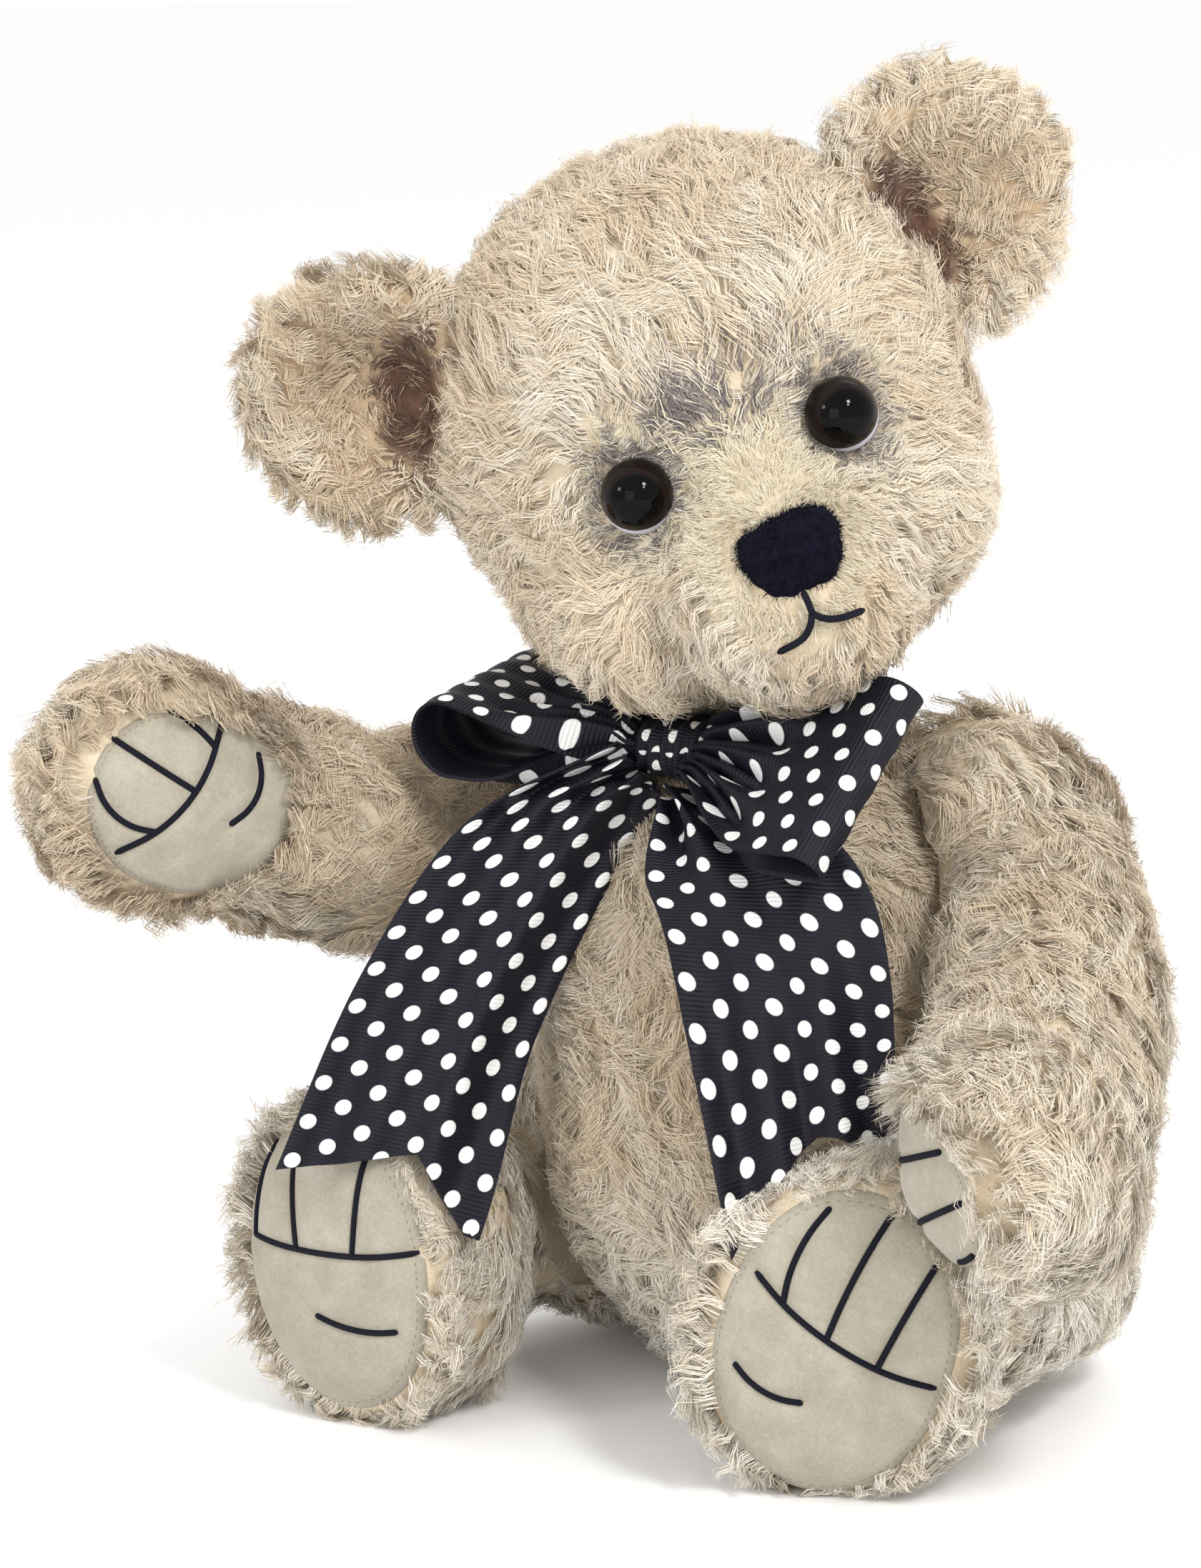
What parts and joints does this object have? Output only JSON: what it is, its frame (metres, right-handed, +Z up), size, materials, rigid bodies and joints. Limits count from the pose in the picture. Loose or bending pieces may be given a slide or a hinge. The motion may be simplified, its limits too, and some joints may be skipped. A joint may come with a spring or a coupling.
{
  "type": "jointed teddy bear",
  "caption": "Sitting mohair teddy bear with disc-jointed arms and legs, a turning and tilting head, suede paw and foot pads, glass eyes and a wide polka dot ribbon bow.",
  "frame": {"origin": "centre of the flat seat under the torso", "axes": "+Z up, the torso faces -Y, +X is the bear's left"},
  "size_m": [0.2232, 0.1501, 0.2496],
  "materials": {
    "mohair": "long curly cream pile",
    "filling": "loose fibre",
    "suede": "brushed suede cloth",
    "thread": "stranded cotton",
    "felt": "needle felted wool",
    "ribbon": "ribbed grosgrain with white dots",
    "eye_glass": "polished",
    "steel": "zinc plated",
    "hardboard": "pressed"
  },
  "bodies": {
    "torso": {"arm_left_torso_disc": "hardboard", "arm_right_torso_disc": "hardboard", "bow_knot": "ribbon", "bow_loop_left": "ribbon", "bow_loop_right": "ribbon", "bow_tail_left": "ribbon", "bow_tail_right": "ribbon", "leg_left_torso_disc": "hardboard", "leg_right_torso_disc": "hardboard", "neck_torso_disc": "hardboard", "ribbon_collar": "ribbon", "torso_filling": "filling", "torso_skin": "mohair"},
    "neck": {"neck_spindle": "steel"},
    "head": {"ear_left": "mohair", "ear_right": "mohair", "eye_left": "eye_glass", "eye_right": "eye_glass", "eye_shank_left": "steel", "eye_shank_right": "steel", "head_filling": "filling", "head_skin": "mohair", "mouth_stitching": "thread", "neck_cross_pin": "steel", "neck_head_disc": "hardboard", "nose": "felt"},
    "arm_left": {"arm_left_bolt": "steel", "arm_left_disc": "hardboard", "arm_left_filling": "filling", "arm_left_locknut": "steel", "arm_left_pad": "suede", "arm_left_skin": "mohair", "arm_left_stitching": "thread"},
    "arm_right": {"arm_right_bolt": "steel", "arm_right_disc": "hardboard", "arm_right_filling": "filling", "arm_right_locknut": "steel", "arm_right_pad": "suede", "arm_right_skin": "mohair", "arm_right_stitching": "thread"},
    "leg_left": {"leg_left_bolt": "steel", "leg_left_disc": "hardboard", "leg_left_filling": "filling", "leg_left_locknut": "steel", "leg_left_pad": "suede", "leg_left_skin": "mohair", "leg_left_stitching": "thread"},
    "leg_right": {"leg_right_bolt": "steel", "leg_right_disc": "hardboard", "leg_right_filling": "filling", "leg_right_locknut": "steel", "leg_right_pad": "suede", "leg_right_skin": "mohair", "leg_right_stitching": "thread"}
  },
  "joints": [
    {"name": "neck_turn", "type": "hinge", "parent": "torso", "child": "neck", "pos_m": [0, 0, 0.131], "axis": [0, 0, 1], "range_deg": [-60, 20]},
    {"name": "head_tilt", "type": "hinge", "parent": "neck", "child": "head", "pos_m": [0, 0, 0.16], "axis": [-0.6157, 0.788, 0], "range_deg": [0, 40]},
    {"name": "shoulder_right", "type": "hinge", "parent": "torso", "child": "arm_right", "pos_m": [-0.0385, 0, 0.102], "axis": [-0.9193, 0.281, 0.2756], "range_deg": [-35, 3]},
    {"name": "shoulder_left", "type": "hinge", "parent": "torso", "child": "arm_left", "pos_m": [0.0385, 0, 0.102], "axis": [-0.9193, -0.281, -0.2756], "range_deg": [0, 46]},
    {"name": "hip_right", "type": "hinge", "parent": "torso", "child": "leg_right", "pos_m": [-0.039, 0.002, 0.033], "axis": [0.9879, -0.0691, 0.1392], "range_deg": [0, 85]},
    {"name": "hip_left", "type": "hinge", "parent": "torso", "child": "leg_left", "pos_m": [0.039, 0.002, 0.033], "axis": [0.9865, 0.0863, -0.1392], "range_deg": [0, 85]}
  ]
}
